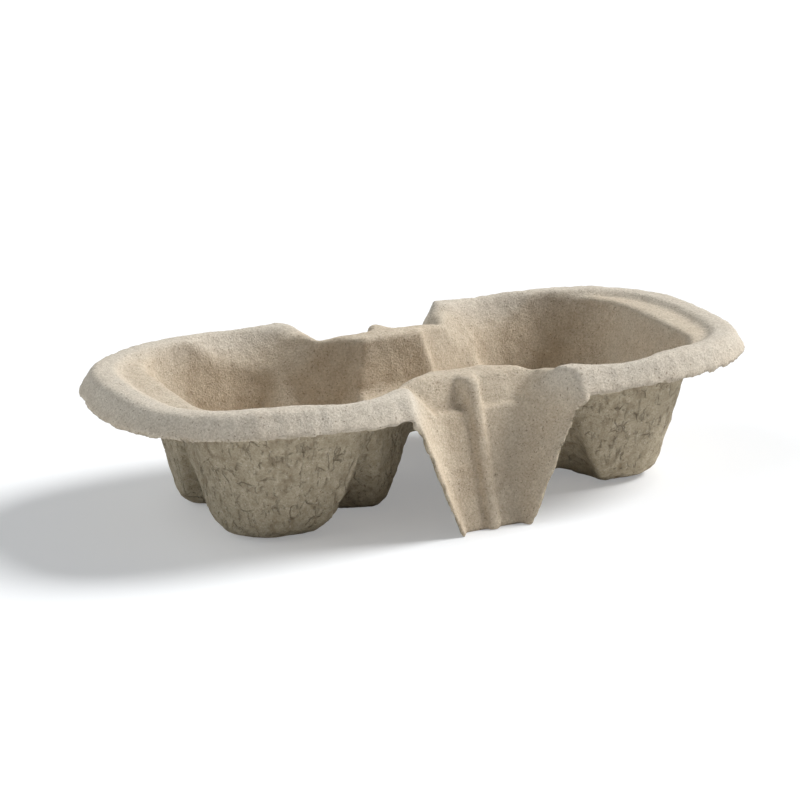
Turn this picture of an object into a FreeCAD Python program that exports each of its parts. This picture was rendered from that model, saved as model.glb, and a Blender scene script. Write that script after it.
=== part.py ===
"""Two-cup carrier, moulded in one piece from paper pulp. Millimetres, +Z up, feet on z = 0.

The carrier is one thin sheet. It is modelled as its mould makes it: one solid fills the space
under the upper face of the sheet, a second solid fills the space under its lower face, and the
carrier is what lies between them. Both solids come from the same functions. The lower one has
each face set back by the wall.
"""
import FreeCAD, Part
import math
import os
import Sketcher

doc = FreeCAD.newDocument("cup_carrier")

# Driving dimensions of the upper face, and the wall of the sheet

SIZES = {
    "length": 225.0,              # free edge to free edge, along X
    "width": 104.2,               # free edge to free edge, along Y
    "height": 47.5,               # ground to the top of the border
    "wall": 1.6,                  # moulded pulp
    "skirt_flare": 5.1,           # the turned-down edge stands out from the border by this
    "skirt_drop": 7.7,            # and hangs down from it by this
    "corner_radius": 27.0,        # plan corners, at the top of the border
    "end_radius": 81.0,           # the two ends bulge on this radius
    "border_width": 8.5,          # raised border, from its outer edge to the flange
    "border_rise": 2.0,           # its top above the flange
    "well_pitch": 100.0,          # centre to centre of the two wells
    "mouth_end": 39.0,            # well at the top, from its centre to the end of the tray
    "mouth_side": 41.5,           # and to the long side
    "mouth_corner": 26.0,         # plan corner there
    "mouth_bend": 6.0,            # where the long side turns in towards the waist
    "mouth_bend_radius": 34.0,
    "slant_angle": 30.0,          # by which it turns in
    "well_taper": 11.5,           # these walls come in by this from the top to the feet
    "mouth_waist": 42.0,          # from the centre of the well to its wall at the waist
    "base_waist": 29.0,           # the same at its feet
    "waist_radius": 10.0,
    "hub_height": 10.0,           # raised floor in the middle of a well
    "hub_radius": 14.0,           # at its top
    "hub_draft": 3.0,             # it is wider by this on the ground
    "flute_angle": 66.0,          # two of the three flutes, from the waist side of the well
    "flute_height": 37.0,         # where a flute dies out on the wall
    "flute_reach": 39.5,          # and how far that is from the middle of the well
    "flute_foot": 27.0,           # middle of its arch on the ground
    "flute_radius": 14.5,         # half the width of its arch on the ground
    "scoop_centre": 49.0,         # hollow of the long inner side, from the middle of the tray
    "scoop_radius": 33.5,
    "scoop_slope": 42.0,          # it falls inwards at this angle
    "scoop_reach": 46.5,          # where its lowest line meets the top, from the middle
    "scoop_length": 22.0,         # how far it runs down into the well
    "channel_floor": 25.6,        # passage between the two wells
    "channel_top": 21.0,          # half width between the posts, at the top
    "channel_base": 17.0,         # and at its floor
    "trough_top": 32.0,           # half width of the outer recess, at the top of the free edge
    "trough_back": 31.6,          # its back wall from the middle of the tray, at the top
    "trough_corner": 20.0,        # its plan corners, at the top
    "trough_taper": 17.8,         # on the ground it is smaller by this all round
    "trough_angle": 30.0,         # its side walls open outwards by this
    "shoulder_level": 36.5,       # lower end of the sloping top of the recess
    "shoulder_base": 15.0,        # half width there
    "shoulder_top": 28.5,         # half width at the top
    "shoulder_crease": 34.0,      # its lower end from the middle of the tray
    "shoulder_crest": 27.3,       # and its upper end
    "rib_base": 4.2,              # half width of the rib where it leaves the recess
    "rib_crest": 1.6,             # half width of its crest
    "rib_height": 7.0,            # root to crest, with the root inside the back wall
    "rib_top": 32.0,              # crest from the middle of the tray, at the top
    "rib_foot": 51.3,             # and on the ground
}

sheet = doc.addObject("Spreadsheet::Sheet", "Sizes")
for row, (alias, value) in enumerate(SIZES.items(), start=1):
    sheet.set("A%d" % row, alias)
    sheet.set("B%d" % row, str(value))
    sheet.setAlias("B%d" % row, alias)
doc.recompute()


class Size:
    """A length or an angle that knows both its value and its formula in the sheet's names."""

    def __init__(self, value, text):
        self.value = value
        self.text = text

    def joined(self, other, sign, result):
        text = other.text if isinstance(other, Size) else repr(other)
        return Size(result, "(%s %s %s)" % (self.text, sign, text))

    def __add__(self, other):
        return self.joined(other, "+", self.value + worth(other))

    def __sub__(self, other):
        return self.joined(other, "-", self.value - worth(other))

    def __mul__(self, other):
        return self.joined(other, "*", self.value * worth(other))

    def __truediv__(self, other):
        return self.joined(other, "/", self.value / worth(other))

    def __neg__(self):
        return self * -1


def worth(number):
    return number.value if isinstance(number, Size) else number


def size(name):
    return Size(SIZES[name], "Sizes." + name)


def sine(angle):
    return Size(math.sin(math.radians(angle.value)), "sin(%s)" % angle.text)


def cosine(angle):
    return Size(math.cos(math.radians(angle.value)), "cos(%s)" % angle.text)


def tangent(angle):
    return Size(math.tan(math.radians(angle.value)), "tan(%s)" % angle.text)


def slope_angle(rise, run):
    """The angle whose tangent is rise / run, in degrees."""
    return Size(math.degrees(math.atan(rise.value / run.value)),
                "atan(%s / %s)" % (rise.text, run.text))


def bind(thing, **formulas):
    """Bind properties of an object to formulas. A double underscore stands for a dot."""
    for name, formula in formulas.items():
        thing.setExpression(name.replace("__", "."), formula.text)
    return thing


def dimension(sketch, kind, target, formula):
    """Add one dimensional constraint and bind it to its formula."""
    index = sketch.addConstraint(Sketcher.Constraint(kind, *target, formula.value))
    sketch.setExpression("Constraints[%d]" % index, formula.text)


def place_sketch(name, level):
    sketch = doc.addObject("Sketcher::SketchObject", name)
    sketch.Placement.Base.z = level.value
    return bind(sketch, Placement__Base__z=level)


def join_smoothly(sketch, chain):
    """Make each curve of a closed chain run into the next one with no kink."""
    for this, following in zip(chain, chain[1:] + chain[:1]):
        sketch.addConstraint(Sketcher.Constraint("Tangent", this, 2, following, 1))


def polygon(name, level, corners):
    """Closed sketch of straight sides, anticlockwise. A corner is (x, y), both of them Sizes."""
    sketch = place_sketch(name, level)
    spots = [FreeCAD.Vector(x.value, y.value, 0) for x, y in corners]
    lines = [sketch.addGeometry(Part.LineSegment(this, following), False)
             for this, following in zip(spots, spots[1:] + spots[:1])]
    for this, following in zip(lines, lines[1:] + lines[:1]):
        sketch.addConstraint(Sketcher.Constraint("Coincident", this, 2, following, 1))
    for line, (x, y) in zip(lines, corners):
        dimension(sketch, "DistanceX", (line, 1), x)
        dimension(sketch, "DistanceY", (line, 1), y)
    return sketch


def round_polygon(name, level, corners):
    """Closed convex sketch, anticlockwise. A corner is (x, y, radius), each one a Size."""
    sketch = place_sketch(name, level)
    spots = [FreeCAD.Vector(x.value, y.value, 0) for x, y, _ in corners]
    chain = []
    for index, (spot, (_, _, radius)) in enumerate(zip(spots, corners)):
        back = (spots[index - 1] - spot).normalize()
        ahead = (spots[(index + 1) % len(spots)] - spot).normalize()
        half = back.getAngle(ahead) / 2
        start = spot + back * (radius.value / math.tan(half))
        end = spot + ahead * (radius.value / math.tan(half))
        to_arc = radius.value / math.sin(half) - radius.value
        middle = spot + (back + ahead).normalize() * to_arc
        chain.append((start, middle, end))

    marks = [sketch.addGeometry(Part.Point(spot), True) for spot in spots]
    curves, lines = [], []
    for index, three in enumerate(chain):
        following = chain[(index + 1) % len(chain)]
        arc = Part.Arc(*three)
        curves.append(sketch.addGeometry(arc, False))
        lines.append(sketch.addGeometry(Part.LineSegment(three[2], following[0]), False))
        curves.append(lines[-1])
    join_smoothly(sketch, curves)
    for index, (x, y, radius) in enumerate(corners):
        for line in (lines[index - 1], lines[index]):
            sketch.addConstraint(Sketcher.Constraint("PointOnObject", marks[index], 1, line))
        dimension(sketch, "DistanceX", (marks[index], 1), x)
        dimension(sketch, "DistanceY", (marks[index], 1), y)
        dimension(sketch, "Radius", (curves[2 * index],), radius)
    return sketch


def mirrored_corners(corners):
    """The corners of one side, y positive, anticlockwise, and those of the other side."""
    return corners + [(x, -y, *radius) for x, y, *radius in reversed(corners)]


def outline(name, level, inset):
    """Plan of the tray: straight long sides, round corners and bulging ends."""
    half_width = size("width") / 2 - size("skirt_flare") - inset
    half_length = size("length") / 2 - size("skirt_flare") - inset
    corner = size("corner_radius") - inset
    end = size("end_radius") - inset
    centre = half_length - end

    sketch = place_sketch(name, level)
    corner_y = half_width.value - corner.value
    away = math.sqrt((end.value - corner.value) ** 2 - corner_y ** 2)
    corner_x = centre.value + away
    turn = math.atan2(corner_y, away)

    def arc(x, y, radius, first, last):
        circle = Part.Circle(FreeCAD.Vector(x, y, 0), FreeCAD.Vector(0, 0, 1), radius.value)
        return sketch.addGeometry(Part.ArcOfCircle(circle, first, last), False)

    def side(x, y):
        line = Part.LineSegment(FreeCAD.Vector(x, y, 0), FreeCAD.Vector(-x, y, 0))
        return sketch.addGeometry(line, False)

    half_turn = math.pi
    right_end = arc(centre.value, 0, end, -turn, turn)
    back_right = arc(corner_x, corner_y, corner, turn, half_turn / 2)
    back_side = side(corner_x, half_width.value)
    back_left = arc(-corner_x, corner_y, corner, half_turn / 2, half_turn - turn)
    left_end = arc(-centre.value, 0, end, half_turn - turn, half_turn + turn)
    front_left = arc(-corner_x, -corner_y, corner, half_turn + turn, 1.5 * half_turn)
    front_side = side(-corner_x, -half_width.value)
    front_right = arc(corner_x, -corner_y, corner, 1.5 * half_turn, 2 * half_turn - turn)

    join_smoothly(sketch, [right_end, back_right, back_side, back_left,
                           left_end, front_left, front_side, front_right])
    for line, y in ((back_side, half_width), (front_side, -half_width)):
        sketch.addConstraint(Sketcher.Constraint("Horizontal", line))
        dimension(sketch, "DistanceY", (line, 1), y)
    for curve, x in ((right_end, centre), (left_end, -centre)):
        sketch.addConstraint(Sketcher.Constraint("PointOnObject", curve, 3, -1))
        dimension(sketch, "DistanceX", (curve, 3), x)
        dimension(sketch, "Radius", (curve,), end)
    for curve in (back_right, back_left, front_left, front_right):
        dimension(sketch, "Radius", (curve,), corner)
    return sketch


def loft(name, *sections):
    body = doc.addObject("Part::Loft", name)
    body.Sections = list(sections)
    body.Solid = True
    body.Ruled = True
    return body


def fuse(name, *bodies):
    result = doc.addObject("Part::MultiFuse", name)
    result.Shapes = list(bodies)
    return result


def cut(name, base, tool):
    result = doc.addObject("Part::Cut", name)
    result.Base = base
    result.Tool = tool
    return result


def mirror(name, source, normal):
    result = doc.addObject("Part::Mirroring", name)
    result.Source = source
    result.Normal = normal
    return result


X_AXIS = FreeCAD.Vector(1, 0, 0)
Y_AXIS = FreeCAD.Vector(0, 1, 0)
NOTHING = size("wall") * 0
BELOW_GROUND = size("wall") * -2
PAST_EDGE = size("width") * 0.6     # a plane this far from the middle is clear of the tray


def block(name, back):
    """Everything under the border and its skirt, before any hollow is made."""
    skirt_level = size("height") - size("skirt_drop")
    lean = cosine(slope_angle(size("skirt_flare"), size("skirt_drop")))
    top_inset = NOTHING
    skirt_inset = -size("skirt_flare")
    if back.value:
        skirt_inset = skirt_inset + back / lean
        top_inset = back / lean - back * size("skirt_flare") / size("skirt_drop")
    top = outline(name + "_top", size("height") - back, top_inset)
    edge = outline(name + "_edge", skirt_level, skirt_inset)
    cap = loft(name + "_cap", edge, top)

    beyond = size("width") if back.value else NOTHING
    base = doc.addObject("Part::Box", name + "_base")
    bind(base,
         Length=size("length") + beyond,
         Width=size("width") + beyond,
         Height=skirt_level - BELOW_GROUND,
         Placement__Base__x=-(size("length") + beyond) / 2,
         Placement__Base__y=-(size("width") + beyond) / 2,
         Placement__Base__z=BELOW_GROUND)
    if back.value:
        return fuse(name, cap, base)
    footprint = outline(name + "_footprint", BELOW_GROUND, skirt_inset)
    footprint_top = outline(name + "_footprint_top", skirt_level, skirt_inset)
    column = loft(name + "_column", footprint, footprint_top)
    return fuse(name, cap, column)


def well(name, back):
    """One cup well, wide at its mouth and narrow at its feet, at the right-hand place."""
    slant = size("slant_angle")
    middle = size("well_pitch") / 2

    def section(label, level, taper, waist):
        side = size("mouth_side") - taper + back
        bend = middle - size("mouth_bend") + (taper - back) * tangent(slant / 2)
        waist_wall = middle - waist - back
        corners = [(middle + size("mouth_end") - taper + back, side,
                    size("mouth_corner") - taper + back),
                   (bend, side, size("mouth_bend_radius") - taper + back),
                   (waist_wall, side - (bend - waist_wall) * tangent(slant),
                    size("waist_radius") + back)]
        return round_polygon(name + label, level, mirrored_corners(corners))

    hollow = loft(name + "_hollow",
                  section("_base", size("wall") - back, size("well_taper"),
                          size("base_waist")),
                  section("_mouth", size("height"), NOTHING, size("mouth_waist")))

    ridges = [hub(name + "_hub", back)]
    for index, turn in enumerate((size("flute_angle"), -size("flute_angle"))):
        ridges.append(flute(name + "_flute_%d" % index, back, Size(180.0, "180") - turn))
    ridges.append(flute(name + "_end_flute", back, NOTHING))
    return cut(name, hollow, fuse(name + "_ridges", *ridges))


def hub(name, back):
    """Raised floor in the middle of a well, between its three feet."""
    cone = doc.addObject("Part::Cone", name)
    return bind(cone,
                Radius1=size("hub_radius") + size("hub_draft") - back,
                Radius2=size("hub_radius") - back,
                Height=size("hub_height") - back,
                Placement__Base__x=size("well_pitch") / 2)


def flute(name, back, turn):
    """Tapered flute up the wall of a well. Its lower end is an arch between two feet."""
    lean_run = size("flute_reach") - size("flute_foot")
    lean = slope_angle(lean_run, size("flute_height"))
    radius = size("flute_radius") - back
    height = size("flute_height") - back * size("flute_height") / size("flute_radius")
    below = Size(1.0, "1") - BELOW_GROUND / height
    foot = size("flute_foot") + lean_run / size("flute_height") * BELOW_GROUND
    cone = doc.addObject("Part::Cone", name)
    bind(cone,
         Radius1=radius * below,
         Radius2=NOTHING,
         Height=height * below / cosine(lean))
    azimuth = math.radians(turn.value)
    direction = FreeCAD.Vector(math.cos(azimuth), math.sin(azimuth), 0)
    around = FreeCAD.Rotation(FreeCAD.Vector(0, 0, 1), turn.value)
    tilt = FreeCAD.Rotation(Y_AXIS, lean.value)
    cone.Placement = FreeCAD.Placement(direction * foot.value, around * tilt)
    bind(cone,
         Placement__Base__x=size("well_pitch") / 2 + foot * cosine(turn),
         Placement__Base__y=foot * sine(turn),
         Placement__Base__z=BELOW_GROUND)
    return cone


def scoop(name, back):
    """Rounded hollow of the long inner side, from the border down to the wall of a well."""
    radius = size("scoop_radius") + back
    reach = size("scoop_length")
    slope = size("scoop_slope")
    cylinder = doc.addObject("Part::Cylinder", name)
    cylinder.Placement.Rotation = FreeCAD.Rotation(X_AXIS, -90.0 + slope.value)
    return bind(cylinder,
                Radius=radius,
                Height=size("width"),
                Placement__Base__x=size("scoop_centre"),
                Placement__Base__y=(size("scoop_reach") - reach * cosine(slope)
                                    - size("scoop_radius") * sine(slope)),
                Placement__Base__z=(size("height") - reach * sine(slope)
                                    + size("scoop_radius") * cosine(slope)))


def channel(name, back):
    """Passage between the two wells, with the end faces of the two posts for its sides."""
    reach = size("well_pitch") / 3

    def section(label, level, half):
        return polygon(name + label, level, mirrored_corners([(reach, half), (-reach, half)]))

    return loft(name,
                section("_floor", size("channel_floor") - back, size("channel_base") + back),
                section("_top", size("height"), size("channel_top") + back))


def flange(name, back):
    """The lower field inside the raised border."""
    level = size("height") - size("border_rise") - back
    return loft(name,
                outline(name + "_low", level, size("border_width") - back),
                outline(name + "_high", size("height"), size("border_width") - back))


def trough(name, back):
    """Outer recess of the front long side. It reaches the ground and is open to the front."""
    spread = tangent(size("trough_angle"))
    taper = size("trough_taper") / size("height")

    def section(label, level, grown):
        back_wall = size("trough_back") - grown
        half = size("trough_top") + grown / cosine(size("trough_angle"))
        narrow = half - (size("width") / 2 - back_wall) * spread
        wide = half + (PAST_EDGE - size("width") / 2) * spread
        corner = size("trough_corner") + grown
        corners = [(-narrow, -back_wall, corner),
                   (-wide, -PAST_EDGE, size("wall")),
                   (wide, -PAST_EDGE, size("wall")),
                   (narrow, -back_wall, corner)]
        return round_polygon(name + label, level, corners)

    return loft(name,
                section("_base", BELOW_GROUND,
                        back - taper * (size("height") - BELOW_GROUND)),
                section("_top", size("height"), back))


def shoulder(name, back):
    """Sloping top of the outer recess, which runs up to the crown of the post."""
    def section(label, level, half, back_wall):
        side = half + back
        wall = back_wall - back
        return polygon(name + label, level,
                       [(-side, -wall), (-side, -PAST_EDGE), (side, -PAST_EDGE), (side, -wall)])

    return loft(name,
                section("_low", size("shoulder_level"), size("shoulder_base"),
                        size("shoulder_crease")),
                section("_high", size("height"), size("shoulder_top"),
                        size("shoulder_crest")))


def rib(name, back):
    """Upright rib in the middle of the outer recess, from the crown to the ground."""
    draft = slope_angle(size("rib_base") - size("rib_crest"), size("rib_height"))
    root_half = size("rib_base") - back / cosine(draft)
    crest_half = size("rib_crest") + back * tangent(draft) - back / cosine(draft)

    def section(label, level, crest):
        root = crest - size("rib_height")
        return polygon(name + label, level,
                       [(root_half, -root), (-root_half, -root),
                        (-crest_half, back - crest), (crest_half, back - crest)])

    fall = (size("rib_foot") - size("rib_top")) / size("height")
    top = size("height") - size("border_rise") - back
    return loft(name,
                section("_foot", BELOW_GROUND, size("rib_foot") - fall * BELOW_GROUND),
                section("_crown", top, size("rib_foot") - fall * top))


def under_face(name, back):
    """The solid under one face of the sheet. back is 0 for the upper face."""
    right_well = well(name + "_well", back)
    wells = [right_well, mirror(name + "_left_well", right_well, X_AXIS)]

    scoops = [scoop(name + "_scoop", back)]
    scoops.append(mirror(name + "_left_scoop", scoops[0], X_AXIS))
    pair = fuse(name + "_scoop_pair", *scoops)
    far_pair = mirror(name + "_front_scoops", pair, Y_AXIS)

    recess = fuse(name + "_recess", trough(name + "_trough", back),
                  shoulder(name + "_shoulder", back))
    ribbed = cut(name + "_ribbed_recess", recess, rib(name + "_rib", back))
    far_recess = mirror(name + "_back_recess", ribbed, Y_AXIS)

    hollows = fuse(name + "_hollows", *wells, pair, far_pair, ribbed, far_recess,
                   channel(name + "_channel", back), flange(name + "_flange", back))
    return cut(name, block(name + "_block", back), hollows)


upper = under_face("upper", NOTHING)
lower = under_face("lower", size("wall"))
sheet_of_pulp = cut("between_faces", upper, lower)

above_ground = doc.addObject("Part::Box", "above_ground")
bind(above_ground,
     Length=size("length") * 1.2,
     Width=size("width") * 1.2,
     Height=size("height") * 1.2,
     Placement__Base__x=-size("length") * 0.6,
     Placement__Base__y=-size("width") * 0.6)
tray = doc.addObject("Part::Common", "tray")
tray.Base = sheet_of_pulp
tray.Tool = above_ground
tray.Label = "tray"

doc.recompute()

for thing in doc.Objects:
    faults = [state for state in thing.State if state in ("Invalid", "Error")]
    if faults:
        raise RuntimeError("%s failed: %s" % (thing.Label, faults))
if tray.Shape.isNull() or not tray.Shape.isValid():
    raise RuntimeError("tray has no valid shape")
if len(tray.Shape.Solids) != 1:
    raise RuntimeError("tray has %d solids" % len(tray.Shape.Solids))

os.makedirs("parts", exist_ok=True)
tray.Shape.exportStep("parts/%s.step" % tray.Label)
print("tray: %.0f cubic mm, %d faces" % (tray.Shape.Volume, len(tray.Shape.Faces)))
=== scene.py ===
"""Studio view of a two-cup carrier in moulded paper pulp.

The tray is one sheet. Its faces are surfaces of one signed distance field, which follows the
solid model in the frame, with every edge rounded as wet pulp rounds it. x runs along the
tray, z is up, and all lengths are in millimetres until the mesh is made.
"""

import math

import bpy
import numpy as np
import openvdb
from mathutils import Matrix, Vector


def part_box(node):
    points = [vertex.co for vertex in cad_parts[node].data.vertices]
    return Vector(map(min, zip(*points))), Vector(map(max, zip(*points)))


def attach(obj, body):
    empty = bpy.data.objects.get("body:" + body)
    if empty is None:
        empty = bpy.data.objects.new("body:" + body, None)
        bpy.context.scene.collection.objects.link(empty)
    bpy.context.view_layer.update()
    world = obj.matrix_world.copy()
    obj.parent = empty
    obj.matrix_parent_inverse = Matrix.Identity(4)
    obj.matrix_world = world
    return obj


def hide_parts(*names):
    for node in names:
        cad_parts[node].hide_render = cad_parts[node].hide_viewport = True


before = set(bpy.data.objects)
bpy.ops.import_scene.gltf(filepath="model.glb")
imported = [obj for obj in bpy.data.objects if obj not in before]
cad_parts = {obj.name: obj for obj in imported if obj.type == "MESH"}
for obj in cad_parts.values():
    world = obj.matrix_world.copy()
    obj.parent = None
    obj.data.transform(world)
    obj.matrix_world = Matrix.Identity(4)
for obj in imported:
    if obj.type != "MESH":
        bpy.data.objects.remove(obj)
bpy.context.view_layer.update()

MM = 0.001

# The tray's own dimensions

LOW, HIGH = (np.array(limit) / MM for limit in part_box("tray"))
LENGTH, WIDTH, HEIGHT = HIGH - LOW
WALL = 1.7
SKIRT_FLARE, SKIRT_DROP = 5.1, 7.7
SKIRT_SLOPE = math.hypot(SKIRT_FLARE, SKIRT_DROP)
SKIRT_FOOT = HEIGHT - SKIRT_DROP
CORNER_RADIUS, END_RADIUS = 27.0, 81.0
BORDER_WIDTH, BORDER_RISE = 8.5, 2.0
WELL_X = 50.0
MOUTH_END, MOUTH_SIDE, MOUTH_BEND = 39.0, 41.5, 6.0
MOUTH_WAIST, BASE_WAIST = 42.0, 29.0
MOUTH_CORNER, BEND_RADIUS, WAIST_RADIUS = 26.0, 34.0, 10.0
WELL_TAPER, SLANT_ANGLE = 11.5, 30.0
HUB_HEIGHT, HUB_RADIUS, HUB_DRAFT = 10.0, 14.0, 3.0
FLUTE_TURNS = (0.0, 180.0 - 66.0, 66.0 - 180.0)
FLUTE_HEIGHT, FLUTE_REACH, FLUTE_FOOT, FLUTE_RADIUS = 37.0, 39.5, 27.0, 14.5
SCOOP_X, SCOOP_RADIUS, SCOOP_SLOPE = 49.0, 33.5, 52.0
SCOOP_REACH, SCOOP_LENGTH = 46.5, 22.0
CHANNEL_FLOOR, CHANNEL_TOP, CHANNEL_BASE, CHANNEL_REACH = 25.6, 21.0, 17.0, 33.0
TROUGH_TOP, TROUGH_BACK, TROUGH_CORNER = 32.0, 31.6, 20.0
TROUGH_ANGLE, TROUGH_TAPER = 30.0, 18.6
SHOULDER_LEVEL, SHOULDER_BASE, SHOULDER_TOP = 36.5, 15.0, 26.5
SHOULDER_CREASE, SHOULDER_CREST = 34.0, 27.3
RIB_BASE, RIB_CREST, RIB_TOP, RIB_FOOT, RIB_HEIGHT = 4.4, 1.6, 33.6, 51.9, 7.0

# The rim of soft pulp stands a little past that of the solid model

RIM_OUT, RIM_UP, RIM_DOWN = 1.3, 0.2, 0.3
RIM_BAND = 4.0
FLANGE_START, FLANGE_END = 3.6, 0.8
PANEL_MARGIN = 0.6

# How far the rounding of each edge reaches

RIM_EDGE, WELL_FLOOR_EDGE, HUB_EDGE, FLUTE_EDGE = 1.8, 8.0, 4.0, 3.0
RIDGE_FILLET, CHANNEL_FILLET, CHANNEL_EDGE, SCOOP_EDGE = 3.0, 5.0, 1.2, 0.8
MOUTH_EDGE, RECESS_EDGE, SHEET_EDGE = 2.0, 0.9, 1.2
SHOULDER_FILLET, SHOULDER_EDGE, RIB_EDGE, RIB_FILLET = 2.5, 1.2, 1.0, 1.2

SLANT = math.radians(SLANT_ANGLE)
SLANT_AWAY = MOUTH_BEND * math.sin(SLANT) + MOUTH_SIDE * math.cos(SLANT)


def larger(a, b, reach):
    """Maximum of two fields, with the edge between them rounded over the given reach."""
    near = np.maximum(reach - np.abs(a - b), 0.0) / reach
    return np.maximum(a, b) + near * near * reach * 0.25


def smaller(a, b, reach):
    """Minimum of two fields, rounded in the same way."""
    return -larger(-a, -b, reach)


def step(value, start, end):
    """Smooth rise from 0 at the start to 1 at the end."""
    share = np.clip((value - start) / (end - start), 0.0, 1.0)
    return share * share * (3.0 - 2.0 * share)


def lean(rise, run):
    """Factor that turns a horizontal distance from a leaning wall into a true one."""
    return rise / math.hypot(rise, run)


class Waves:
    """Smooth noise, about -1 to 1: a seeded sum of plane waves of mixed directions."""

    def __init__(self, seed, wavelength, count=18, stretch=(1.0, 1.0, 1.0)):
        random = np.random.default_rng(seed)
        directions = random.normal(size=(count, 3))
        directions /= np.linalg.norm(directions, axis=1)[:, None]
        lengths = wavelength * random.uniform(0.7, 1.5, count)
        self.vectors = directions * (2.0 * math.pi / lengths)[:, None] / np.array(stretch)
        self.phases = random.uniform(0.0, 2.0 * math.pi, count)
        self.scale = math.sqrt(2.0 / count)

    def at(self, x, y, z):
        total = 0.0
        for vector, phase in zip(self.vectors, self.phases):
            total = total + np.sin(x * vector[0] + y * vector[1] + z * vector[2] + phase)
        return total * self.scale


# The upper face. Each function takes the quarter of the tray with x and y above zero.


def outline(x, y):
    """Plan distance outside the top of the border."""
    half_length = LENGTH / 2 - SKIRT_FLARE
    half_width = WIDTH / 2 - SKIRT_FLARE
    end = np.hypot(x - (half_length - END_RADIUS), y) - END_RADIUS + CORNER_RADIUS
    side = y - half_width + CORNER_RADIUS
    outside = np.hypot(np.maximum(end, 0), np.maximum(side, 0))
    return outside + np.minimum(np.maximum(end, side), 0) - CORNER_RADIUS


def border(x, y, z):
    """Everything under the border, the flange inside it and the skirt outside it."""
    out = outline(x, y)
    flange = step(-out, BORDER_WIDTH - FLANGE_START, BORDER_WIDTH + FLANGE_END)
    top = z - HEIGHT - RIM_UP + BORDER_RISE * flange
    skirt = (SKIRT_DROP * (out - RIM_OUT) + SKIRT_FLARE * (z - HEIGHT)) / SKIRT_SLOPE
    return larger(top, skirt, RIM_EDGE)


def corner(x, y, first_turn, first, second_turn, second, radius):
    """Plan distance from two lines that an arc joins.

    A line is the direction of its normal, in degrees, and its distance from the origin.
    """
    normals = [(math.cos(math.radians(turn)), math.sin(math.radians(turn)))
               for turn in (first_turn, second_turn)]
    inverse = np.linalg.inv(np.array(normals))
    along = x - inverse[0, 0] * (first - radius) - inverse[0, 1] * (second - radius)
    across = y - inverse[1, 0] * (first - radius) - inverse[1, 1] * (second - radius)
    angle = np.degrees(np.arctan2(across, along))
    lines = [x * normal[0] + y * normal[1] - distance
             for normal, distance in zip(normals, (first, second))]
    rounded = np.hypot(along, across) - radius
    return np.where((angle > first_turn) & (angle < second_turn), rounded, np.maximum(*lines))


def well(x, y, z):
    """The hollow of one well, without the hub and the flutes that stand in its bottom."""
    along = x - WELL_X
    share = np.clip((HEIGHT - z) / (HEIGHT - WALL), -0.05, 1.1)
    taper = WELL_TAPER * share
    end, side, slant = MOUTH_END - taper, MOUTH_SIDE - taper, SLANT_AWAY - taper
    waist = MOUTH_WAIST + (BASE_WAIST - MOUTH_WAIST) * share
    turn = 90.0 + SLANT_ANGLE
    plan = np.maximum(corner(along, y, 0.0, end, 90.0, side, MOUTH_CORNER - taper),
                      corner(along, y, 90.0, side, turn, slant, BEND_RADIUS - taper))
    plan = np.maximum(plan, corner(along, y, turn, slant, 180.0, waist, WAIST_RADIUS))
    return larger(plan * lean(HEIGHT, WELL_TAPER), WALL - z, WELL_FLOOR_EDGE)


def ridges(x, y, z):
    """The hub and the three flutes of a well, negative inside them."""
    along = x - WELL_X
    grown = HUB_RADIUS + HUB_DRAFT * (1.0 - z / HUB_HEIGHT)
    result = larger(np.hypot(along, y) - grown, z - HUB_HEIGHT, HUB_EDGE)
    share = 1.0 - z / FLUTE_HEIGHT
    for turn in FLUTE_TURNS:
        angle = math.radians(turn)
        reach = FLUTE_FOOT + (FLUTE_REACH - FLUTE_FOOT) * (1.0 - share)
        away = np.hypot(along - reach * math.cos(angle), y - reach * math.sin(angle))
        cone = (away - FLUTE_RADIUS * share) * lean(FLUTE_HEIGHT, FLUTE_RADIUS)
        result = smaller(result, cone, FLUTE_EDGE)
    return result


def scoop(x, y, z):
    """The hollow of a long inner side, from the border down to the wall of the well."""
    slope = math.radians(SCOOP_SLOPE)
    over = (SCOOP_REACH - y) * math.sin(slope) + (z - HEIGHT) * math.cos(slope)
    down = (SCOOP_REACH - y) * math.cos(slope) + (HEIGHT - z) * math.sin(slope)
    curve = np.hypot(x - SCOOP_X, over - SCOOP_RADIUS) - SCOOP_RADIUS
    return np.maximum(curve, down - SCOOP_LENGTH)


def channel(x, y, z):
    """The passage between the two wells, whose sides lean back more towards the top."""
    share = np.clip((z - CHANNEL_FLOOR) / (HEIGHT - CHANNEL_FLOOR), -0.2, 1.2)
    half = CHANNEL_BASE + (CHANNEL_TOP - CHANNEL_BASE) * share * (0.6 + 0.4 * share)
    passage = larger(y - half, CHANNEL_FLOOR - z, CHANNEL_FILLET)
    return np.maximum(passage, x - CHANNEL_REACH)


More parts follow.
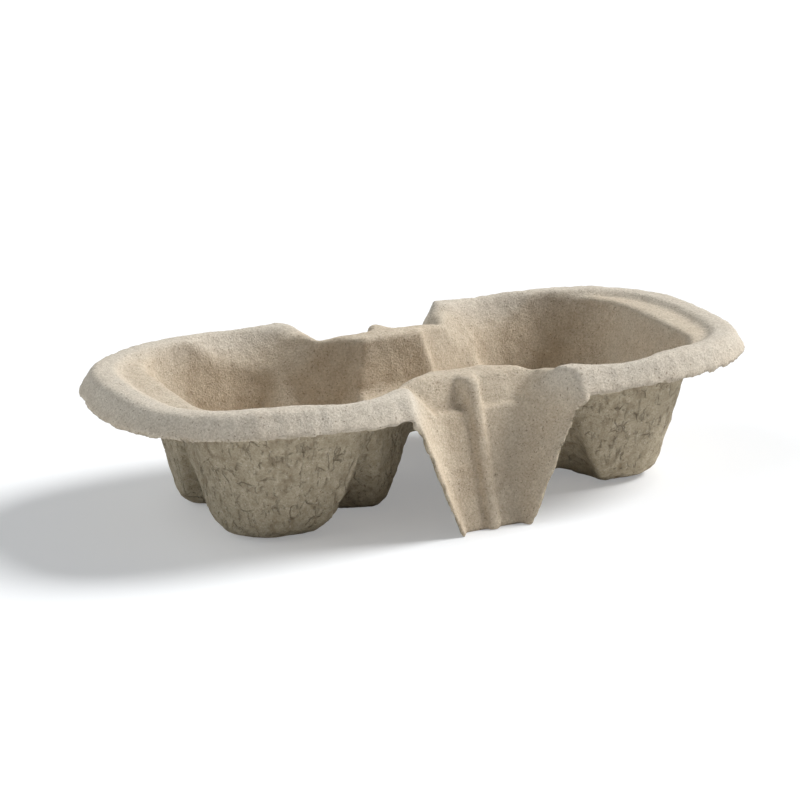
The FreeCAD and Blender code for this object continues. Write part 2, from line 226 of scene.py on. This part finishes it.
def recess(x, y, z):
    """The outer recess of a long side, with its sloping shoulder and its rib."""
    angle = math.radians(TROUGH_ANGLE)
    side_away = TROUGH_TOP * math.cos(angle) - WIDTH / 2 * math.sin(angle)
    plan = corner(x, y, -90.0, -TROUGH_BACK, -TROUGH_ANGLE, side_away, TROUGH_CORNER)
    trough = (plan + TROUGH_TAPER * (1.0 - z / HEIGHT)) * lean(HEIGHT, TROUGH_TAPER)

    rise = HEIGHT - SHOULDER_LEVEL
    share = (z - SHOULDER_LEVEL) / rise
    half = SHOULDER_BASE + (SHOULDER_TOP - SHOULDER_BASE) * share
    crest = SHOULDER_CREASE + (SHOULDER_CREST - SHOULDER_CREASE) * share
    shoulder = larger((x - half) * lean(rise, SHOULDER_TOP - SHOULDER_BASE),
                      (crest - y) * lean(rise, SHOULDER_CREASE - SHOULDER_CREST),
                      SHOULDER_FILLET)
    hollow = smaller(trough, np.maximum(shoulder, SHOULDER_LEVEL - z), SHOULDER_EDGE)

    line = RIB_FOOT + (RIB_TOP - RIB_FOOT) * z / HEIGHT
    flank = (x - RIB_CREST) * RIB_HEIGHT - (line - y) * (RIB_BASE - RIB_CREST)
    flank = flank / math.hypot(RIB_HEIGHT, RIB_BASE - RIB_CREST)
    rib = larger(flank, (y - line) * lean(HEIGHT, RIB_FOOT - RIB_TOP), RIB_EDGE)
    return larger(hollow, -rib, RIB_FILLET)


def upper_face(x, y, z):
    """Signed distance from the upper face, negative in the pulp and everywhere below it."""
    x, y = np.abs(x), np.abs(y)
    hollow = larger(well(x, y, z), -ridges(x, y, z), RIDGE_FILLET)
    hollow = smaller(hollow, channel(x, y, z), CHANNEL_EDGE)
    hollow = smaller(hollow, scoop(x, y, z), SCOOP_EDGE)
    solid = larger(border(x, y, z), -hollow, MOUTH_EDGE)
    reach = RECESS_EDGE + RECESS_EDGE * step(-outline(x, y), 3.0, 12.0)
    return larger(solid, -recess(x, y, z), reach)


# The sheet between the two faces

VOXEL = 1.12
DRIFT_SIZE = 0.3
DRIFT = [Waves(seed, 55.0) for seed in (11, 12, 13)]
EDGE_WAVES = Waves(21, 8.0)
EDGE_DRIFT = Waves(22, 26.0)


def sheet_depth(x, y, z):
    """Depth below the upper face, negative in the pulp, with the mould's slight drift."""
    shift = [DRIFT_SIZE * waves.at(x, y, z) for waves in DRIFT]
    return upper_face(x + shift[0], y + shift[1], z + shift[2] * step(z, 2.0, 14.0))


def sheet_trim(x, y, z):
    """What is past the ragged edge of the skirt and of the troughs, or under the floor."""
    ragged = 0.14 * EDGE_WAVES.at(x, y, z) + 0.20 * EDGE_DRIFT.at(x, y, z)
    out = outline(np.abs(x), np.abs(y))
    along = (SKIRT_FLARE * out + SKIRT_DROP * (HEIGHT - z)) / SKIRT_SLOPE - SKIRT_SLOPE
    panel = recess(np.abs(x), np.abs(y), z) - WALL - PANEL_MARGIN
    skirt = np.minimum(np.minimum(along - RIM_DOWN, out + RIM_BAND), panel)
    foot = out - SKIRT_FLARE - 2.0 * step(z, SKIRT_FOOT - 5.0, SKIRT_FOOT - 1.0)
    return np.maximum(np.maximum(skirt, foot) + ragged, -z)


def sheet_field(x, y, z):
    """Signed distance that is negative inside the sheet."""
    depth = sheet_depth(x, y, z)
    return larger(np.maximum(depth, -depth - WALL), sheet_trim(x, y, z), SHEET_EDGE)


def sheet_mesh():
    """Points and four-sided faces of the sheet, on a grid of cubes."""
    margin = 3.0
    start = LOW - margin
    counts = np.ceil((HIGH - LOW + 2 * margin) / VOXEL).astype(int)
    axes = [start[i] + VOXEL * np.arange(counts[i]) for i in range(3)]
    x, y, z = np.meshgrid(*axes, indexing="ij")
    values = sheet_field(x, y, z).astype(np.float32)
    grid = openvdb.FloatGrid(margin)
    grid.copyFromArray(np.clip(values, -margin, margin))
    points, quads = grid.convertToQuads(0.0)
    return start + points * VOXEL, quads


def slope_at(points, small=0.06):
    """Direction and rate in which the distance from the sheet grows at each point."""
    x, y, z = points.T
    return np.stack([sheet_field(x + small, y, z) - sheet_field(x - small, y, z),
                     sheet_field(x, y + small, z) - sheet_field(x, y - small, z),
                     sheet_field(x, y, z + small) - sheet_field(x, y, z - small)],
                    axis=1) / (2 * small)


def settle(points, rounds=3, longest=0.4, flattest=0.3):
    """Move each point onto the exact face that it lies nearest to."""
    for _ in range(rounds):
        value = sheet_field(*points.T)
        slope = slope_at(points)
        steep = np.maximum((slope ** 2).sum(axis=1), flattest)
        points = points - slope * np.clip(value / steep, -longest, longest)[:, None]
    return points


# Relief of the pulp: felt above, wrinkled below, and drawn into fine pleats on the skirt


def noise_at(points, seed, wavelength, count=18, stretch=(1.0, 1.0, 1.0)):
    return Waves(seed, wavelength, count, stretch).at(*points.T)


def creases(points, seed, wavelength, width, stretch=(1.0, 1.0, 1.0)):
    """Narrow furrows along the zero lines of a noise, in patches. 1 is the bottom of one."""
    line = noise_at(points, seed, wavelength, 30, stretch)
    patch = step(noise_at(points, seed + 1, wavelength * 1.6, 20), -0.2, 0.7)
    return patch * np.exp(-(line / width) ** 2)


def pleats(points, out, small=0.05):
    """Fine folds that run down the skirt, from noise that is the same all the way down."""
    x, y, z = points.T
    outward = np.stack([outline(np.abs(x) + small, np.abs(y)) - out,
                        outline(np.abs(x), np.abs(y) + small) - out]) / small
    rim_x = x - np.sign(x) * outward[0] * out
    rim_y = y - np.sign(y) * outward[1] * out
    on_skirt = step(out, -1.0, 1.5) * step(z, SKIRT_FOOT - 3.0, SKIRT_FOOT - 1.0)
    return on_skirt * (0.06 * Waves(51, 2.4, 30).at(rim_x, rim_y, 0.15 * z)
                       + 0.08 * Waves(52, 6.0, 24).at(rim_x, rim_y, 0.2 * z))


def add_relief(points):
    """The points with their relief, and how much of each surface feature and of the painted top
    light is at each.
    """
    x, y, z = points.T
    out = outline(np.abs(x), np.abs(y))
    under = step(-sheet_depth(x, y, z), 0.5, WALL - 0.3)
    felt = (0.04 * noise_at(points, 31, 2.6, 30) + 0.05 * noise_at(points, 32, 7.0, 24)
            + 0.10 * noise_at(points, 33, 19.0))
    lumps = (0.07 * noise_at(points, 45, 5.0, 30) + 0.06 * noise_at(points, 46, 2.8, 30)
             + 0.12 * noise_at(points, 47, 11.0, 24, (1.0, 1.0, 1.5)))
    furrows = np.maximum(creases(points, 41, 13.0, 0.13, (1.0, 1.0, 1.8)),
                         creases(points, 43, 8.0, 0.16) * 0.7)
    relief = ((1.0 - under) * felt + under * (lumps - 0.55 * furrows)
              + pleats(points, out))
    near_floor = step(z, 0.0, 2.0) * 0.7 + 0.3
    normal = slope_at(points)
    normal /= np.maximum(np.linalg.norm(normal, axis=1), 1e-6)[:, None]

    # Painted light: the top of the tray, from z 34 to 46 and most near the border, is marked to
    # be paled towards grey, standing in for cool light from above.
    painted_top_light = step(z, 34.0, 46.0) * (0.2 + 0.8 * step(out, -11.0, -4.0))
    features = {"under": under, "furrow": furrows * under, "painted_top_light": painted_top_light}
    moved = points + normal * (relief * near_floor)[:, None]
    moved[:, 2] = np.maximum(moved[:, 2], 0.0)
    return moved, features


def tray_sheet():
    points, quads = sheet_mesh()
    points, features = add_relief(settle(points))
    mesh = bpy.data.meshes.new("tray_sheet")
    mesh.from_pydata((points * MM).tolist(), [], quads.tolist())
    mesh.validate()
    for name, values in features.items():
        layer = mesh.attributes.new(name, "FLOAT", "POINT")
        layer.data.foreach_set("value", values.astype(np.float32))
    mesh.update()
    mesh.shade_smooth()
    return add_object("tray_sheet", mesh)


def add_object(name, data):
    thing = bpy.data.objects.new(name, data)
    bpy.context.scene.collection.objects.link(thing)
    return thing


# Pulp

PULP_DARK, PULP_LIGHT = (0.56, 0.45, 0.33, 1), (0.67, 0.565, 0.43, 1)
PULP_CLOUD = (0.60, 0.54, 0.44, 1)
CRUST_DARK, CRUST_LIGHT = (0.40, 0.335, 0.235, 1), (0.58, 0.505, 0.375, 1)
# Painted light: the pale grey that the top of the tray is paled towards.
PAINTED_LIGHT_PALE = (0.72, 0.68, 0.61, 1)
GRAIN_DARK = (0.24, 0.175, 0.10, 1)
SPECK_DARK = (0.16, 0.11, 0.07, 1)
FLECK_PALE = (0.78, 0.71, 0.60, 1)
# Painted shade: the dark colour at the bottom of the furrows of the lower face.
FURROW_PAINTED_SHADE = (0.17, 0.12, 0.07, 1)
# Painted shade: the dark colour in the cracks and streaks of the lower face.
CRACK_PAINTED_SHADE = (0.17, 0.13, 0.08, 1)
FIBRE_DARK = (0.20, 0.14, 0.08, 1)


class Nodes:
    """Short names for the few kinds of shader node that the materials need."""

    def __init__(self, tree):
        self.tree = tree

    def add(self, kind, **inputs):
        node = self.tree.nodes.new(kind)
        for name, value in inputs.items():
            self.feed(node.inputs[name.replace("_", " ")], value)
        return node

    def feed(self, socket, value):
        if isinstance(value, bpy.types.NodeSocket):
            self.tree.links.new(value, socket)
        else:
            socket.default_value = value

    def noise(self, place, size, detail=4.0, roughness=0.6):
        """Noise of the given grain size in millimetres."""
        node = self.add("ShaderNodeTexNoise", Vector=place, Scale=1.0 / (size * MM),
                        Detail=detail, Roughness=roughness)
        return node.outputs["Fac"]

    def wander(self, place, size):
        """Noise in all three axes, which bends a pattern out of its straight lines."""
        node = self.add("ShaderNodeTexNoise", Vector=place, Scale=1.0 / (size * MM), Detail=3.0)
        return node.outputs["Color"]

    def cracks(self, place, size):
        """Net of thin lines between cells of the given size. 1 is on a line."""
        node = self.add("ShaderNodeTexVoronoi", Vector=place, Scale=1.0 / (size * MM))
        node.feature = "DISTANCE_TO_EDGE"
        return self.ramp(node.outputs["Distance"], 0.0, 0.055, 1.0, 0.0)

    def scaled(self, place, scale, turn=(0.0, 0.0, 0.0)):
        """Place for a pattern that a scale below 1 draws out along that axis."""
        node = self.add("ShaderNodeMapping", Vector=place, Scale=scale, Rotation=turn)
        return node.outputs["Vector"]

    def ramp(self, value, low, high, start=0.0, end=1.0):
        node = self.add("ShaderNodeMapRange", Value=value, From_Min=low, From_Max=high,
                        To_Min=start, To_Max=end)
        return node.outputs["Result"]

    def math(self, operation, first, second):
        node = self.tree.nodes.new("ShaderNodeMath")
        node.operation = operation
        self.feed(node.inputs[0], first)
        self.feed(node.inputs[1], second)
        return node.outputs[0]

    def times(self, first, second):
        return self.math("MULTIPLY", first, second)

    def mix(self, share, first, second, blend="MIX"):
        node = self.tree.nodes.new("ShaderNodeMix")
        node.data_type = "RGBA"
        node.blend_type = blend
        self.feed(node.inputs["Factor"], share)
        self.feed(node.inputs["A"], first)
        self.feed(node.inputs["B"], second)
        return node.outputs["Result"]

    def attribute(self, name):
        node = self.tree.nodes.new("ShaderNodeAttribute")
        node.attribute_name = name
        return node.outputs["Fac"]


def crust_pattern(nodes, place, under):
    """Cracks and streaks of the rough lower face, drawn out down the walls."""
    bend = nodes.mix(0.006, place, nodes.wander(place, 5.0), "ADD")
    cracks = nodes.cracks(nodes.scaled(bend, (1.0, 1.0, 0.45)), 5.0)
    patches = nodes.ramp(nodes.noise(place, 5.0, 3.0), 0.50, 0.60)
    streaks = nodes.noise(nodes.scaled(place, (1.0, 1.0, 0.35)), 1.6, 4.0, 0.7)
    torn = nodes.math("MAXIMUM", nodes.times(cracks, patches),
                      nodes.ramp(streaks, 0.58, 0.70, 0.0, 0.8))
    return nodes.times(torn, under)


def pulp_material():
    material = bpy.data.materials.new("pulp")
    material.use_nodes = True
    tree = material.node_tree
    nodes = Nodes(tree)
    place = tree.nodes.new("ShaderNodeTexCoord").outputs["Object"]
    under = nodes.attribute("under")

    broad = nodes.noise(place, 28.0, 2.0)
    mottle = nodes.noise(place, 3.2, 5.0, 0.65)
    grain = nodes.noise(place, 0.7, 4.0, 0.75)
    specks = nodes.noise(place, 0.8, 1.0, 0.5)
    flecks = nodes.noise(place, 1.1, 2.0, 0.6)
    fibres = nodes.noise(nodes.scaled(place, (1.0, 0.22, 1.0), (0.3, 0.5, 0.8)), 0.45, 2.0, 0.5)
    crust = crust_pattern(nodes, place, under)

    colour = nodes.mix(nodes.ramp(mottle, 0.36, 0.64), PULP_DARK, PULP_LIGHT)
    colour = nodes.mix(nodes.times(nodes.ramp(broad, 0.35, 0.65), 0.35), colour, PULP_CLOUD)
    # Painted light: the top of the tray is paled half way towards grey.
    colour = nodes.mix(nodes.times(nodes.attribute("painted_top_light"), 0.5), colour, PAINTED_LIGHT_PALE)
    lower = nodes.mix(nodes.ramp(mottle, 0.34, 0.66), CRUST_DARK, CRUST_LIGHT)
    colour = nodes.mix(under, colour, lower)
    colour = nodes.mix(nodes.ramp(grain, 0.38, 0.60, 0.42, 0.0), colour, GRAIN_DARK)
    colour = nodes.mix(nodes.ramp(specks, 0.66, 0.72, 0.0, 0.55), colour, SPECK_DARK)
    colour = nodes.mix(nodes.ramp(flecks, 0.64, 0.74, 0.0, 0.45), colour, FLECK_PALE)
    # Painted shade: the furrows of the lower face are darkened.
    colour = nodes.mix(nodes.times(nodes.attribute("furrow"), 0.55), colour, FURROW_PAINTED_SHADE)
    # Painted shade: the cracks and streaks of the lower face, which the bump sinks, are
    # darkened.
    colour = nodes.mix(nodes.times(crust, 0.45), colour, CRACK_PAINTED_SHADE)
    colour = nodes.mix(nodes.ramp(fibres, 0.68, 0.76, 0.0, 0.4), colour, FIBRE_DARK)

    height = nodes.math("ADD", nodes.times(grain, 0.5), mottle)
    height = nodes.math("ADD", height, nodes.times(fibres, 0.3))
    height = nodes.math("SUBTRACT", height, nodes.times(crust, 1.6))
    bump = nodes.add("ShaderNodeBump", Height=height, Distance=0.55 * MM, Strength=0.75)

    shader = tree.nodes["Principled BSDF"]
    nodes.feed(shader.inputs["Base Color"], colour)
    nodes.feed(shader.inputs["Normal"], bump.outputs["Normal"])
    nodes.feed(shader.inputs["Roughness"], nodes.ramp(mottle, 0.3, 0.7, 0.86, 0.98))
    shader.inputs["Specular IOR Level"].default_value = 0.25
    return material


tray = tray_sheet()
tray.data.materials.append(pulp_material())
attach(tray, "root")
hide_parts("tray")

# Floor

FLOOR_REACH = 8.0
FLOOR_PAINT = (0.93, 0.93, 0.93, 1)
FLOOR_WHITE = 0.28


def floor_material():
    """Matt white. The camera alone sees the given share of pure white mixed in."""
    material = bpy.data.materials.new("floor")
    material.use_nodes = True
    tree = material.node_tree
    nodes = Nodes(tree)
    shader = tree.nodes["Principled BSDF"]
    shader.inputs["Base Color"].default_value = FLOOR_PAINT
    shader.inputs["Roughness"].default_value = 1.0
    shader.inputs["Specular IOR Level"].default_value = 0.0
    seen = tree.nodes.new("ShaderNodeLightPath").outputs["Is Camera Ray"]
    mix = tree.nodes.new("ShaderNodeMixShader")
    nodes.feed(mix.inputs[0], nodes.times(seen, FLOOR_WHITE))
    nodes.feed(mix.inputs[1], shader.outputs[0])
    nodes.feed(mix.inputs[2], tree.nodes.new("ShaderNodeEmission").outputs[0])
    nodes.feed(tree.nodes["Material Output"].inputs[0], mix.outputs[0])
    return material


floor_mesh = bpy.data.meshes.new("floor")
floor_corners = [(x * FLOOR_REACH, y * FLOOR_REACH, 0)
                 for x, y in ((-1, -1), (1, -1), (1, 1), (-1, 1))]
floor_mesh.from_pydata(floor_corners, [], [(0, 1, 2, 3)])
floor = add_object("floor", floor_mesh)
floor_mesh.materials.append(floor_material())

# Camera, from the view of the photograph

FOCAL_PIXELS = 2525.3
PICTURE = 800
CAMERA_PLACE = (-370.5, -698.7, 269.8)
CAMERA_DIP, CAMERA_TURN = 16.95, -27.42

camera_data = bpy.data.cameras.new("camera")
camera_data.sensor_width = 36.0
camera_data.lens = FOCAL_PIXELS / PICTURE * camera_data.sensor_width
camera_data.clip_start = 0.05
camera = add_object("camera", camera_data)
camera.location = Vector(CAMERA_PLACE) * MM
camera.rotation_euler = (math.radians(90.0 - CAMERA_DIP), 0.0, math.radians(CAMERA_TURN))
bpy.context.scene.camera = camera

# Light

AMBIENT = 0.14


def sun(name, direction, angle, strength, colour):
    """A soft light from far away. The direction points from the tray to the light."""
    data = bpy.data.lights.new(name, "SUN")
    data.angle = math.radians(angle)
    data.energy = strength
    data.color = colour
    light = add_object(name, data)
    light.rotation_euler = Vector(direction).to_track_quat("Z", "Y").to_euler()


sun("key", (0.74, -0.08, 0.67), 26.0, 4.2, (0.97, 0.985, 1.0))
sun("fill", (-0.78, 0.22, 0.58), 60.0, 1.1, (0.85, 0.93, 1.0))

world = bpy.data.worlds.new("studio")
bpy.context.scene.world = world
world.use_nodes = True
world.node_tree.nodes["Background"].inputs["Color"].default_value = (1, 1, 1, 1)
world.node_tree.nodes["Background"].inputs["Strength"].default_value = AMBIENT

bpy.context.scene.view_settings.view_transform = "Standard"
